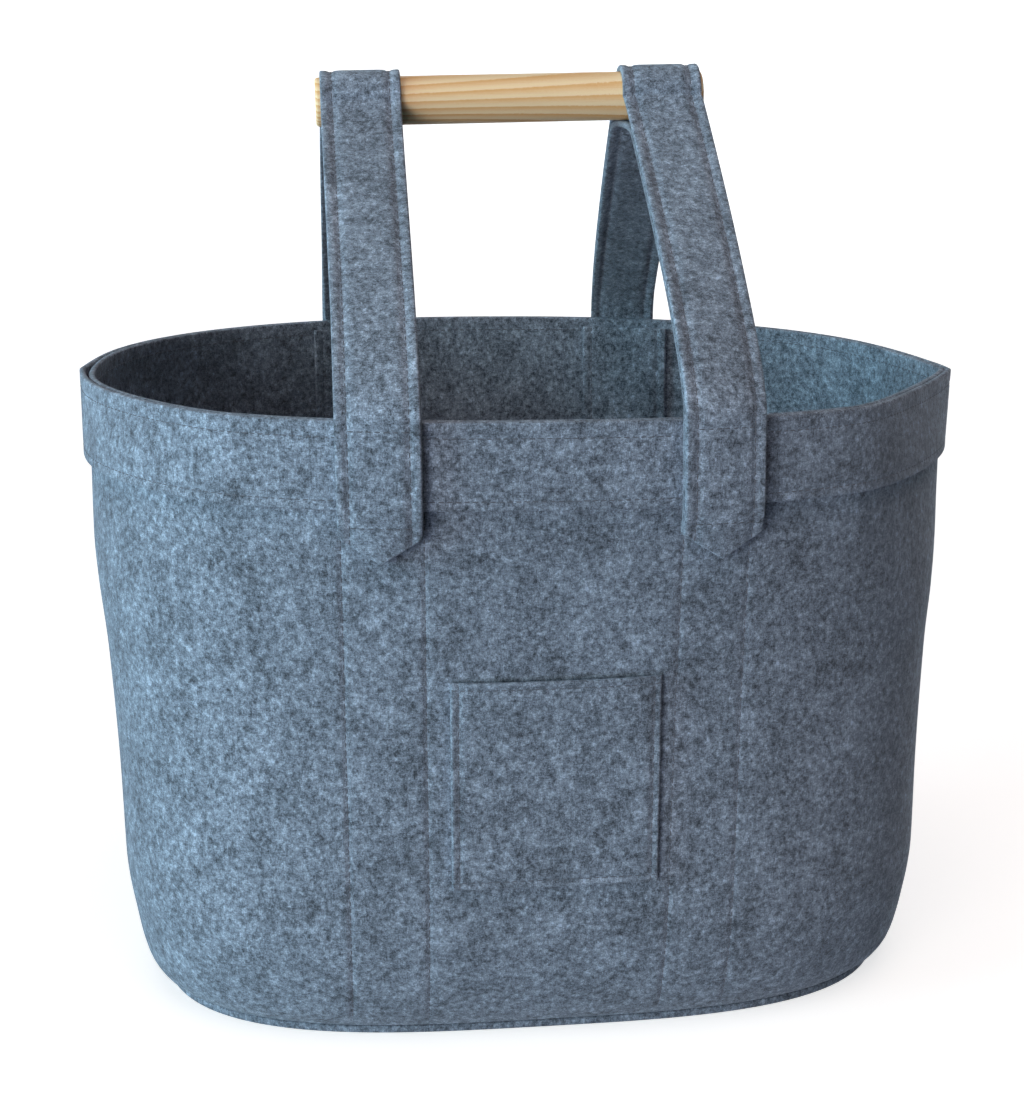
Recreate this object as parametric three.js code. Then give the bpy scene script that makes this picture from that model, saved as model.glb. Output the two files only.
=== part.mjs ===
// Felt basket bag with a wooden handle, in millimetres with +Z up.
// An oval felt wall stands on an oval felt base, and a felt band is sewn round the outside of its rim.
// Two straps of double felt rise from the front wall, hold a round wooden dowel between their layers
// and go down to the back wall. Felt strips inside the wall carry the pull of the straps to the base.
// The bag's front faces -Y, and the origin is on the floor under the middle of the base.

import * as THREE from 'three';
import { mergeVertices } from 'three/addons/utils/BufferGeometryUtils.js';

// One layer of felt, and the gap between pieces that lie on each other.
const feltThickness = 3;
const seatGap = 0.3;

// Base: an oval plate of firmer felt. A squareness of 2 is an ellipse, and more is squarer.
const baseWidth = 390;
const baseDepth = 270;
const baseThickness = 4;
const baseSquareness = 3.15;

// Rim: the outside of the wall at its top. The right end hangs lower than the left one,
// and both ends hang lower than the middle, which the handle holds up.
const rimWidth = 438;
const rimDepth = 337;
const rimSquareness = 2.34;
const rimHeight = 315;
const rimTilt = 2.6;
const rimSag = 2.3;

// How the wall widens from its foot to its rim, in shares of the wall's height and of the
// growth from the base's half width and half depth to the rim's.
const wallProfile = [
  { height: 0, width: 0, depth: 0 },
  { height: 0.015, width: 0.26, depth: 0.11 },
  { height: 0.04, width: 0.42, depth: 0.25 },
  { height: 0.1, width: 0.57, depth: 0.46 },
  { height: 0.2, width: 0.73, depth: 0.63 },
  { height: 0.35, width: 0.76, depth: 0.67 },
  { height: 0.55, width: 0.87, depth: 0.69 },
  { height: 0.75, width: 1.06, depth: 0.81 },
  { height: 0.9, width: 1.03, depth: 0.965 },
  { height: 1, width: 1, depth: 1 },
];

// The rim's ends are creased outwards. A crease has its middle at centreY, and fades away round
// the rim and down the wall. On the left the band stands off the wall, and on the right the
// crease is broad, a little in front of the middle. The front is also pressed flatter towards the
// ends, from pinchStart on, and frontPinch is the share of its depth that is lost at the very end.
const creaseFade = 0.35;
const pinchStart = 0.7;
const endCreases = [
  { side: -1, centreY: 0, reach: 44, wallCrease: 0, bandCrease: 2.6, frontPinch: 0.22 },
  { side: 1, centreY: -25, reach: 86, wallCrease: 9, bandCrease: 0, frontPinch: 0.36 },
];

// Band round the rim.
const bandHeight = 40.6;

// Patch pocket on the front: its mouth stands a little off the wall.
const pocketWidth = 98.7;
const pocketHeight = 104.2;
const pocketCentreX = 2;
const pocketBottomZ = 88.1;
const pocketMouthGap = 2.2;

// Dowel: its right end sits higher, and its left end sticks out of its strap a little further.
const dowelRadius = 12;
const dowelLength = 196;
const dowelCentreX = -2.3;
const dowelEdge = 1.5;
const dowelHeight = 448.7;
const dowelTiltDegrees = 0.9;

// Straps: strapReach is how far their middles are from the bag's middle. The table gives, as
// shares of it, the middle of each strap on the dowel, and of each leg at its tip, at the rim and
// in the upper part of its run.
const strapWidth = 40;
const sewnWidth = 38;
const strapReach = 77;
const strapShares = [
  {
    name: 'left',
    held: -1.012,
    front: { tip: -1.006, rim: -1.011, run: -1.01 },
    back: { tip: -1.04, rim: -1.04, run: -1.026 },
  },
  {
    name: 'right',
    held: 0.956,
    front: { tip: 0.997, rim: 0.979, run: 1.01 },
    back: { tip: 1.07, rim: 1.1, run: 0.918 },
  },
];
const legPlaces = ({ tip, rim, run }) => (
  { tipX: tip * strapReach, rimX: rim * strapReach, runX: run * strapReach }
);
const straps = strapShares.map(({ name, held, front, back }) => (
  { name, heldX: held * strapReach, front: legPlaces(front), back: legPlaces(back) }
));

// The sewn end of a strap: it reaches this far below the rim at its edges, and its point further.
const sewnLength = 53;
const tipLength = 12.3;

// The free run of a strap from the rim to the dowel is one curve. It leaves the rim
// leaning outwards and meets the side of the dowel going straight up.
const rimLeanDegrees = 5;
const rimHandle = 29;
const dowelHandle = 14;

// Where the inner layer leaves the outer one, as a share of the run, and the shape of its arch
// under the dowel.
const archStart = 0.8;
const archShoulder = 6;
const archCrown = 12;

// Strips inside the wall, behind the straps.
const stripWidth = 50;
const stripFootShare = 0.02;
const stripTopShare = 0.985;

// Faceting.
const ovalSteps = 96;
const strapColumns = 4;
const runSteps = 10;
const wrapSteps = 5;
const archSteps = 4;
const dowelSides = 28;

const wallFoot = baseThickness + seatGap;
const bandShare = bandHeight / (rimHeight - wallFoot);
const bandRowShares = wallProfile.map((row) => row.height).filter((height) => height > 1 - bandShare);

// Height of the rim above the floor at a place across the bag.
function rimZ(x) {
  const share = x / (rimWidth / 2);
  return rimHeight - rimTilt * share - rimSag * share * share;
}

// The wall's oval at a share of its height: half width, half depth and squareness.
function wallOval(share) {
  const upper = wallProfile.findIndex((row) => row.height >= share && row.height > 0);
  const above = wallProfile[upper];
  const below = wallProfile[upper - 1];
  const part = (share - below.height) / (above.height - below.height);
  const width = THREE.MathUtils.lerp(below.width, above.width, part);
  const depth = THREE.MathUtils.lerp(below.depth, above.depth, part);
  return {
    halfWidth: THREE.MathUtils.lerp(baseWidth, rimWidth, width) / 2,
    halfDepth: THREE.MathUtils.lerp(baseDepth, rimDepth, depth) / 2,
    squareness: THREE.MathUtils.lerp(baseSquareness, rimSquareness, share),
  };
}

// A signed power, which keeps the sign of its base.
function signedPower(value, power) {
  return Math.sign(value) * Math.abs(value) ** power;
}

// How much of the creases at the rim is left at a share of the wall's height.
function creaseLeft(share) {
  return Math.max(0, 1 - (1 - share) / creaseFade);
}

// How far the crease at an end of the rim pushes a point of the wall outwards.
function creaseShift(x, y, share, key) {
  const end = x < 0 ? endCreases[0] : endCreases[1];
  const round = Math.max(0, 1 - Math.abs(y - end.centreY) / end.reach);
  return end.side * end[key] * round * round * creaseLeft(share);
}

// What is left of the wall's half depth at a place across the oval, as a share of it.
function pinchedDepth(x, y, halfWidth, share) {
  const end = x < 0 ? endCreases[0] : endCreases[1];
  const near = Math.max(0, Math.abs(x) / halfWidth - pinchStart) / (1 - pinchStart);
  return y < 0 ? 1 - end.frontPinch * near * creaseLeft(share) : 1;
}

// A point on the wall at an angle round the oval and a share of the wall's height. It lies
// outset outside the wall's outer face, measured level.
function wallPoint(angle, share, outset) {
  const { halfWidth, halfDepth, squareness } = wallOval(share);
  const across = Math.abs(Math.cos(angle)) < 1e-9 ? 0 : Math.cos(angle);
  const away = Math.abs(Math.sin(angle)) < 1e-9 ? 0 : Math.sin(angle);
  const x = halfWidth * signedPower(across, 2 / squareness);
  const fullY = halfDepth * signedPower(away, 2 / squareness);
  const y = fullY * pinchedDepth(x, fullY, halfWidth, share);
  const normal = new THREE.Vector3(
    signedPower(across, 2 - 2 / squareness) / halfWidth,
    signedPower(away, 2 - 2 / squareness) / halfDepth,
    0,
  ).normalize();
  const z = wallFoot + share * (rimZ(x) - wallFoot);
  const point = new THREE.Vector3(x + creaseShift(x, y, share, 'wallCrease'), y, z);
  return { point: point.addScaledVector(normal, outset), normal };
}

// The same by a place across the bag, on the front (side -1) or the back (side 1).
function wallPointAcross(x, share, side, outset) {
  const { halfWidth, squareness } = wallOval(share);
  let wallX = x;
  let found = null;
  for (let pass = 0; pass < 4; pass += 1) {
    const angle = side * Math.acos(signedPower(wallX / halfWidth, squareness / 2));
    found = wallPoint(angle, share, outset);
    wallX += x - found.point.x;
  }
  return found;
}

// The share of the wall's height that a height above the floor is, at a place across the bag.
function shareAt(x, z) {
  return (z - wallFoot) / (rimZ(x) - wallFoot);
}

// A sheet of felt as one closed body. Each column is a list of [inner, outer] points from the
// bottom up, and the columns run to the right as seen from outside. A ring's last column
// joins its first.
function sheetGeometry(columns, isRing) {
  const rows = columns[0].length;
  const positions = columns.flat(2).flatMap((point) => point.toArray());
  const indices = [];
  const vertex = (column, row, face) => ((column % columns.length) * rows + row) * 2 + face;
  const addQuad = (a, b, c, d) => indices.push(a, b, c, a, c, d);
  const cells = isRing ? columns.length : columns.length - 1;
  for (let i = 0; i < cells; i += 1) {
    for (let j = 0; j < rows - 1; j += 1) {
      addQuad(vertex(i, j, 1), vertex(i + 1, j, 1), vertex(i + 1, j + 1, 1), vertex(i, j + 1, 1));
      addQuad(vertex(i, j, 0), vertex(i, j + 1, 0), vertex(i + 1, j + 1, 0), vertex(i + 1, j, 0));
    }
    addQuad(vertex(i, 0, 1), vertex(i, 0, 0), vertex(i + 1, 0, 0), vertex(i + 1, 0, 1));
    const top = rows - 1;
    addQuad(vertex(i, top, 1), vertex(i + 1, top, 1), vertex(i + 1, top, 0), vertex(i, top, 0));
  }
  if (!isRing) {
    const last = columns.length - 1;
    for (let j = 0; j < rows - 1; j += 1) {
      addQuad(vertex(0, j, 1), vertex(0, j + 1, 1), vertex(0, j + 1, 0), vertex(0, j, 0));
      addQuad(vertex(last, j, 1), vertex(last, j, 0), vertex(last, j + 1, 0), vertex(last, j + 1, 1));
    }
  }
  const geometry = new THREE.BufferGeometry();
  geometry.setAttribute('position', new THREE.Float32BufferAttribute(positions, 3));
  geometry.setIndex(indices);
  geometry.computeVertexNormals();
  return geometry;
}

function namedMesh(name, geometry, colour, roughness) {
  const material = new THREE.MeshStandardMaterial({ color: colour, roughness, metalness: 0 });
  const mesh = new THREE.Mesh(geometry, material);
  mesh.name = name;
  return mesh;
}

// The angles round an oval, counter-clockwise from the right end.
function ovalAngles() {
  return Array.from({ length: ovalSteps }, (_, step) => (step * 2 * Math.PI) / ovalSteps);
}

// Evenly spaced numbers from the first to the last, with both ends.
function evenSteps(first, last, steps) {
  return Array.from({ length: steps + 1 }, (_, step) => first + ((last - first) * step) / steps);
}

// Base plate: the outline of the wall's foot, cut from thick felt.
function makeBasePlate() {
  const outline = ovalAngles().map((angle) => {
    const { point } = wallPoint(angle, 0, 0);
    return new THREE.Vector2(point.x, point.y);
  });
  const settings = { depth: baseThickness, bevelEnabled: false };
  const geometry = new THREE.ExtrudeGeometry(new THREE.Shape(outline), settings);
  geometry.deleteAttribute('normal');
  geometry.deleteAttribute('uv');
  return namedMesh('base_plate', mergeVertices(geometry), 0x5d6678, 0.95);
}

// Body wall: one layer of felt that tucks in at its foot.
function makeBodyWall() {
  const columns = ovalAngles().map((angle) => wallProfile.map((row) => [
    wallPoint(angle, row.height, -feltThickness).point,
    wallPoint(angle, row.height, 0).point,
  ]));
  return namedMesh('body_wall', sheetGeometry(columns, true), 0x7c8698, 0.95);
}

// Rim band: a second layer of felt round the top of the wall.
function makeRimBand() {
  const shares = [1 - bandShare, ...bandRowShares];
  const columns = ovalAngles().map((angle) => shares.map((share) => (
    [seatGap, seatGap + feltThickness].map((outset) => {
      const { point } = wallPoint(angle, share, outset);
      point.x += creaseShift(point.x, point.y, share, 'bandCrease');
      return point;
    })
  )));
  return namedMesh('rim_band', sheetGeometry(columns, true), 0x828c9e, 0.95);
}

// Patch pocket: sewn down at its sides and foot, and a little open at the middle of its top.
function makeFrontPocket() {
  const left = pocketCentreX - pocketWidth / 2;
  const columns = evenSteps(0, 1, 8).map((across) => evenSteps(0, 1, 6).map((up) => {
    const x = left + across * pocketWidth;
    const share = shareAt(x, pocketBottomZ + up * pocketHeight);
    const lift = pocketMouthGap * up ** 4 * (1 - (2 * across - 1) ** 4);
    return [0, feltThickness].map((outset) => (
      wallPointAcross(x, share, -1, seatGap + lift + outset).point
    ));
  }));
  return namedMesh('front_pocket', sheetGeometry(columns, false), 0x7f899b, 0.95);
}

// Inner strip: it runs down the inside of the wall behind the sewn end of a strap.
function makeInnerStrip(strap, side) {
  const middle = (side < 0 ? strap.front : strap.back).rimX;
  const places = evenSteps(middle + (side * stripWidth) / 2, middle - (side * stripWidth) / 2, 4);
  const between = wallProfile.map((row) => row.height)
    .filter((height) => height > stripFootShare && height < stripTopShare);
  const shares = [stripFootShare, ...between, stripTopShare];
  const outer = -feltThickness - seatGap;
  const columns = places.map((x) => shares.map((share) => [
    wallPointAcross(x, share, side, outer - feltThickness).point,
    wallPointAcross(x, share, side, outer).point,
  ]));
  const name = `inner_strip_${side < 0 ? 'front' : 'back'}_${strap.name}`;
  return namedMesh(name, sheetGeometry(columns, false), 0x747e90, 0.95);
}

// The dowel's axis height at a place across the bag.
function dowelAxisZ(x) {
  return dowelHeight + x * Math.tan(THREE.MathUtils.degToRad(dowelTiltDegrees));
}

function makeDowel() {
  const half = dowelLength / 2;
  const profile = [
    new THREE.Vector2(0, -half),
    new THREE.Vector2(dowelRadius - dowelEdge, -half),
    new THREE.Vector2(dowelRadius, -half + dowelEdge),
    new THREE.Vector2(dowelRadius, half - dowelEdge),
    new THREE.Vector2(dowelRadius - dowelEdge, half),
    new THREE.Vector2(0, half),
  ];
  const geometry = new THREE.LatheGeometry(profile, dowelSides);
  geometry.deleteAttribute('normal');
  geometry.deleteAttribute('uv');
  geometry.rotateZ(-Math.PI / 2);
  const mesh = namedMesh('handle_dowel', mergeVertices(geometry), 0xd9b98a, 0.6);
  mesh.position.set(dowelCentreX, 0, dowelAxisZ(dowelCentreX));
  mesh.rotation.y = -THREE.MathUtils.degToRad(dowelTiltDegrees);
  return mesh;
}

// The outward normal of a path that runs up the front, seen from the bag's left side.
function pathNormal(tangent) {
  return new THREE.Vector3(1, 0, 0).cross(tangent).normalize();
}

// A point and normal on a cubic curve.
function curveRow(curve, share) {
  const point = curve.getPoint(share);
  return { point, normal: pathNormal(curve.getTangent(share)) };
}

// The middle surface between a strap's two layers, where the strap is sewn to the front:
// from the tip, which lies on the wall, up over the band's lower edge to the rim.
function sewnRows({ tipX, rimX }, fromMiddle) {
  const onWall = seatGap + feltThickness + seatGap / 2;
  const onBand = onWall + feltThickness + seatGap;
  const facing = -wallPointAcross(rimX, 1, -1, onBand).normal.y;
  const aside = (fromMiddle * sewnWidth * facing) / 2;
  const below = (z) => {
    const down = (rimZ(rimX) - z) / (sewnLength + tipLength);
    return THREE.MathUtils.lerp(rimX, tipX, down) + aside;
  };
  const topZ = rimZ(rimX + aside);
  const tipZ = topZ - sewnLength - tipLength * (1 - Math.abs(fromMiddle));
  const stepZ = topZ - bandHeight - seatGap;
  const tipRows = [0, 0.5, 1].map((part) => ({
    z: THREE.MathUtils.lerp(tipZ, stepZ, part),
    outset: THREE.MathUtils.lerp(onWall, onBand, THREE.MathUtils.smoothstep(part, 0, 1)),
  }));
  const bandRows = bandRowShares.map((share) => (
    { z: THREE.MathUtils.lerp(wallFoot, topZ, share), outset: onBand }
  ));
  return [...tipRows, ...bandRows].map(({ z, outset }) => (
    wallPointAcross(below(z), Math.min(1, shareAt(below(z), z)), -1, outset)
  ));
}

// The run of a strap's middle surface from the rim to the side of the dowel.
function runCurve(start, heldX, aside) {
  const lean = THREE.MathUtils.degToRad(rimLeanDegrees);
  const wrapRadius = dowelRadius + seatGap / 2;
  const end = new THREE.Vector3(heldX, -wrapRadius, dowelAxisZ(heldX));
  const rise = new THREE.Vector3(0, -Math.sin(lean), Math.cos(lean));
  return new THREE.CubicBezierCurve3(
    start,
    start.clone().addScaledVector(rise, rimHandle),
    end.clone().add(new THREE.Vector3(aside, 0, -dowelHandle)),
    end,
  );
}

// Half of a strap's path at one place across it, as on the front: from the tip to the middle
// over the dowel for the outer layer, or under it for the inner layer. Each row is a point and
// the outward normal.
function halfPath(leg, middleX, fromMiddle, layer) {
  const heldX = middleX + (fromMiddle * strapWidth) / 2;
  const sewn = sewnRows(leg, fromMiddle);
  const wallNormal = sewn.at(-1).normal;
  const run = runCurve(sewn.at(-1).point.clone(), heldX, leg.runX - middleX);
  const lastShare = layer === 'outer' ? 1 : archStart;
  const runRows = evenSteps(0, 1, runSteps).slice(1).filter((share) => share < lastShare + 1e-9)
    .map((share) => {
      const { point, normal } = curveRow(run, share);
      const turn = THREE.MathUtils.smoothstep(share, 0, 0.4);
      return { point, normal: wallNormal.clone().lerp(normal, turn).normalize() };
    });
  const axis = new THREE.Vector3(heldX, 0, dowelAxisZ(heldX));
  return [...sewn, ...runRows, ...(layer === 'outer' ? wrapRows(axis) : archRows(axis, run))];
}

// The outer layer goes over the dowel in a quarter circle to its top.
function wrapRows(axis) {
  return evenSteps(0, Math.PI / 2, wrapSteps).slice(1).map((angle) => {
    const normal = new THREE.Vector3(0, -Math.cos(angle), Math.sin(angle));
    return { point: axis.clone().addScaledVector(normal, dowelRadius + seatGap / 2), normal };
  });
}

// The inner layer arches under the dowel. Its rows are given on the same middle surface.
function archRows(axis, run) {
  const toMiddle = seatGap / 2 + feltThickness / 2;
  const leave = curveRow(run, archStart);
  const start = leave.point.clone().addScaledVector(leave.normal, -toMiddle);
  const crown = axis.clone();
  crown.z -= dowelRadius + seatGap + feltThickness / 2;
  const arch = new THREE.CubicBezierCurve3(
    start,
    start.clone().addScaledVector(run.getTangent(archStart), archShoulder),
    crown.clone().add(new THREE.Vector3(0, -archCrown, 0)),
    crown,
  );
  return evenSteps(0, 1, archSteps).slice(1).map((share) => {
    const { point, normal } = curveRow(arch, share);
    return { point: point.addScaledVector(normal, toMiddle), normal };
  });
}

// One felt layer of a strap, from its point on the front wall to its point on the back wall.
function makeStrapLayer(strap, layer) {
  const near = layer === 'outer' ? seatGap / 2 : -seatGap / 2 - feltThickness;
  const faces = [near, near + feltThickness];
  const withFaces = (path) => path.map(({ point, normal }) => (
    faces.map((distance) => point.clone().addScaledVector(normal, distance))
  ));
  const columns = evenSteps(-1, 1, strapColumns).map((fromMiddle) => {
    const front = withFaces(halfPath(strap.front, strap.heldX, fromMiddle, layer));
    const back = withFaces(halfPath(strap.back, strap.heldX, fromMiddle, layer));
    const mirrored = back.slice(0, -1).reverse().map((pair) => (
      pair.map((point) => new THREE.Vector3(point.x, -point.y, point.z))
    ));
    return [...front, ...mirrored];
  });
  const geometry = sheetGeometry(columns, false);
  return namedMesh(`strap_${strap.name}_${layer}`, geometry, layer === 'outer' ? 0x7a8496 : 0x6f7a8d, 0.95);
}

const group = new THREE.Group();
group.add(makeBasePlate(), makeBodyWall(), makeRimBand(), makeFrontPocket(), makeDowel());
for (const strap of straps) {
  group.add(makeStrapLayer(strap, 'outer'), makeStrapLayer(strap, 'inner'));
  group.add(makeInnerStrip(strap, -1), makeInnerStrip(strap, 1));
}

export default group;
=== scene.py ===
import math

import bpy
import numpy as np
from mathutils import Matrix, Vector


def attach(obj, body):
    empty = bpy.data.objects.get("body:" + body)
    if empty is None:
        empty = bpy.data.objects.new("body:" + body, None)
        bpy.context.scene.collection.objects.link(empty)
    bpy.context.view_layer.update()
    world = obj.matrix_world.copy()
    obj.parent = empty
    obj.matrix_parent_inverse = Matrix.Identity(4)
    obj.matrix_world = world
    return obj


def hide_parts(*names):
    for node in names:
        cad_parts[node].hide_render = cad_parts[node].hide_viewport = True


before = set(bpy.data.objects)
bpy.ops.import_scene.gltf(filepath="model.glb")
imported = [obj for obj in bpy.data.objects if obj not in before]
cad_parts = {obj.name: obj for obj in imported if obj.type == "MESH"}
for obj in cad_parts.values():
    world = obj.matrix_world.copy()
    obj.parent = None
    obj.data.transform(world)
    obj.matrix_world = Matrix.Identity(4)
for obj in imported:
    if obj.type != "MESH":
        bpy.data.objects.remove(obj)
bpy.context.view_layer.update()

# Camera: it stands in front of the bag, a little to the left of it and above its rim, at the
# distance and with the lens that give the perspective of the photograph.
VIEW_AZIMUTH = math.radians(-6.07)
VIEW_ELEVATION = math.radians(15.26)
VIEW_ROLL = math.radians(-0.14)
VIEW_DISTANCE = 0.9974
VIEW_AIM = Vector((-0.0016, 0, 0.2062))
SENSOR_SIZE = 36
PHOTO_HEIGHT = 1119
FOCAL_PIXELS = 1841

view_back = Vector((
    math.sin(VIEW_AZIMUTH) * math.cos(VIEW_ELEVATION),
    -math.cos(VIEW_AZIMUTH) * math.cos(VIEW_ELEVATION),
    math.sin(VIEW_ELEVATION),
))
level_right = Vector((math.cos(VIEW_AZIMUTH), math.sin(VIEW_AZIMUTH), 0))
level_up = view_back.cross(level_right)
view_right = math.cos(VIEW_ROLL) * level_right + math.sin(VIEW_ROLL) * level_up
view_up = view_back.cross(view_right)
camera_data = bpy.data.cameras.new("camera")
camera_data.lens = FOCAL_PIXELS * SENSOR_SIZE / PHOTO_HEIGHT
camera_data.sensor_width = SENSOR_SIZE
camera = bpy.data.objects.new("camera", camera_data)
camera.matrix_world = Matrix((view_right, view_up, view_back)).transposed().to_4x4()
camera.matrix_world.translation = VIEW_AIM + view_back * VIEW_DISTANCE
bpy.context.scene.collection.objects.link(camera)
bpy.context.scene.camera = camera

# Studio: a round white paper tent, flat under the bag and bent up all round it. A blue soft light
# stands low at the far left, a white one low at the front left, a weak warm one overhead, and
# reflectors lie on the floor in front and at the back. The paper throws no light on the felt.
TENT_SIDES = 96
TENT_BEND_RINGS = 13
TENT_CENTRE = 0.5
TENT_FLOOR = 2
TENT_BEND = 1.2
TENT_TOP = 4
TENT_COLOUR = (0.70, 0.70, 0.70, 1)
TENT_GLOW = 0.7
# Columns: the way the light goes, its strength and colour, and how wide it is in degrees.
STUDIO_LIGHTS = {
    "far_left": ((0.97, 0.14, -0.14), 2.3, (0.51, 0.88, 1), 30),
    "front_left": ((0.67, 0.74, -0.10), 1.3, (1, 1, 0.96), 30),
    "overhead": ((0, 0.20, -0.98), 1.15, (1, 0.86, 0.83), 40),
    "front_reflector": ((0.42, 0.86, 0.28), 0.76, (0.78, 0.82, 1), 40),
    "back_reflector": ((-0.55, -0.79, 0.28), 1.4, (0.88, 0.94, 1), 40),
}


def add_sun(name, direction, strength, colour, width):
    light = bpy.data.lights.new(name, "SUN")
    light.energy = strength
    light.color = colour
    light.angle = math.radians(width)
    sun = bpy.data.objects.new(name, light)
    sun.rotation_euler = Vector(direction).to_track_quat("-Z", "Y").to_euler()
    bpy.context.scene.collection.objects.link(sun)


def new_material(name, shader_inputs):
    """A material whose surface is one Principled shader with these inputs already set."""
    material = bpy.data.materials.new(name)
    material.use_nodes = True
    shader = material.node_tree.nodes["Principled BSDF"]
    for socket, value in shader_inputs.items():
        shader.inputs[socket].default_value = value
    return material, shader


def add_object(name, points, faces, material):
    mesh = bpy.data.meshes.new(name)
    mesh.from_pydata(points, [], faces)
    mesh.shade_smooth()
    mesh.materials.append(material)
    made = bpy.data.objects.new(name, mesh)
    bpy.context.scene.collection.objects.link(made)
    return made


def ring_quads(rings, sides, first=0):
    """Faces between neighbouring rings of points, where first is the first ring's first point."""
    faces = []
    for low in range(first, first + (rings - 1) * sides, sides):
        for k in range(sides):
            after = (k + 1) % sides
            faces.append((low + k, low + after, low + sides + after, low + sides + k))
    return faces


def make_tent():
    bends = np.radians(np.linspace(0, 90, TENT_BEND_RINGS))
    radii = [TENT_CENTRE, *(TENT_FLOOR + TENT_BEND * np.sin(bends)), TENT_FLOOR + TENT_BEND]
    heights = [0, *(TENT_BEND * (1 - np.cos(bends))), TENT_TOP]
    turns = np.arange(TENT_SIDES) * 2 * np.pi / TENT_SIDES
    rings = [
        np.stack([radius * np.cos(turns), radius * np.sin(turns), np.full(TENT_SIDES, height)], -1)
        for radius, height in zip(radii, heights)
    ]
    faces = [tuple(range(TENT_SIDES))]
    faces += [quad[::-1] for quad in ring_quads(len(rings), TENT_SIDES)]
    paper, _ = new_material("paper", {
        "Base Color": TENT_COLOUR,
        "Roughness": 0.9,
        "Emission Color": (1, 1, 1, 1),
        "Emission Strength": TENT_GLOW,
    })
    tent = add_object("tent", np.concatenate(rings).tolist(), faces, paper)
    tent.visible_diffuse = False
    tent.visible_shadow = False


make_tent()
for light_name, light in STUDIO_LIGHTS.items():
    add_sun(light_name, *light)
bpy.context.scene.view_settings.view_transform = "Standard"
world = bpy.data.worlds.new("surround")
world.use_nodes = True
world.node_tree.nodes["Background"].inputs["Strength"].default_value = 0
bpy.context.scene.world = world

# Body wall: one layer of 3 mm wool felt, bent to an oval and sewn to the base at its foot. Near the
# rim its front is pressed flatter towards both ends, and its right end is drawn out. Two lines of
# stitches under each strap, front and back, hold the inner strips.
FELT = 0.003
GAP = 0.0003
BASE_WIDTH = 0.39
BASE_DEPTH = 0.27
BASE_THICKNESS = 0.004
BASE_SQUARENESS = 3.15
RIM_WIDTH = 0.438
RIM_DEPTH = 0.337
RIM_SQUARENESS = 2.34
RIM_HEIGHT = 0.315
RIM_TILT = 0.0026
RIM_SAG = 0.0023
WALL_FOOT = BASE_THICKNESS + GAP
# Columns: share of the height, and share of the growth in width and in depth.
WALL_PROFILE = np.array([
    (0, 0, 0),
    (0.015, 0.26, 0.11),
    (0.04, 0.42, 0.25),
    (0.1, 0.57, 0.46),
    (0.2, 0.73, 0.63),
    (0.35, 0.76, 0.67),
    (0.55, 0.87, 0.69),
    (0.75, 1.06, 0.81),
    (0.9, 1.03, 0.965),
    (1, 1, 1),
])
CREASE_REACHES = (0.044, 0.086)
CREASE_FADE = 0.35
CREASE_CENTRES = (0, -0.025)
WALL_CREASES = (0, 0.009)
PINCH_START = 0.66
PINCH_EASE = 1.5
FRONT_PINCHES = (0.22, 0.36)
EDGE_ROUND = 0.0009
FURROW_DEPTH = 0.0006
FURROW_WIDTH = 0.0011
# Places of extra mesh lines beside a line of stitches, and how far all other mesh lines keep off.
FURROW_PLACES = np.array([-0.0024, -0.0014, -0.0006, 0, 0.0006, 0.0014, 0.0024])
FURROW_CLEARANCE = 0.0036
# Columns: place across the bag, and how far the line leans to the side on its way down.
STRIP_LINES = ((-0.0956, 0), (-0.0582, 0), (0.0603, -0.004), (0.092, -0.003))
STRIP_LINE_FOOT = 0.012
STRIP_LINE_TOP = 0.262
CENTRAL_REACH = 0.125
CENTRAL_STEP = 0.005
END_COLUMNS = 44
WALL_FOOT_SHARE = 0.1
WALL_FOOT_ROWS = 14
WALL_ROWS = 56
SEARCH_STEPS = 4
# Number of points along a straight line of stitches.
LINE_POINTS = 60
STITCH_PITCH = 0.0038
STITCH_LENGTH = 0.0031
# How far the middle of a thread stands over the felt, and how fast it dives to its ends.
THREAD_LIFT = 0.35
THREAD_DIVE = 5
THREAD_RADIUS = 0.00030
THREAD_SIDES = 5
THREAD_COLOUR = (0.10, 0.115, 0.145, 1)
FELT_COLOUR = np.array((0.20, 0.25, 0.32))
# Columns: place on the ramp, share of the felt's colour there, and share of its blue.
FELT_SHADES = ((0.42, 0.18, 1), (0.475, 0.66, 1), (0.53, 1.27, 1), (0.59, 2.5, 0.98))
# Columns: the noise's scale, detail and roughness, and its stretch along x, y and z.
FELT_TUFTS = (280, 5, 0.85, (1, 1, 1))
FELT_UPRIGHT_STREAKS = (560, 4, 0.7, (2.8, 2.8, 0.8))
FELT_LEVEL_STREAKS = (560, 4, 0.7, (1, 1, 3.4))
FELT_CLOUDS = (48, 2, 0.6, (1, 1, 1))
FELT_NAP = (2600, 2, 0.6, (1, 1, 1))
STREAK_SHARE = 0.4
CLOUD_SHARE = 0.12
NAP_SHARE = 0.14
RELIEF_MOTTLE_SHARE = 0.35


def signed_power(value, power):
    return np.sign(value) * np.abs(value) ** power


def unit(vectors):
    return vectors / np.maximum(np.linalg.norm(vectors, axis=-1, keepdims=True), 1e-12)


def rim_z(x):
    share = x / (RIM_WIDTH / 2)
    return RIM_HEIGHT - RIM_TILT * share - RIM_SAG * share * share


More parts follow.
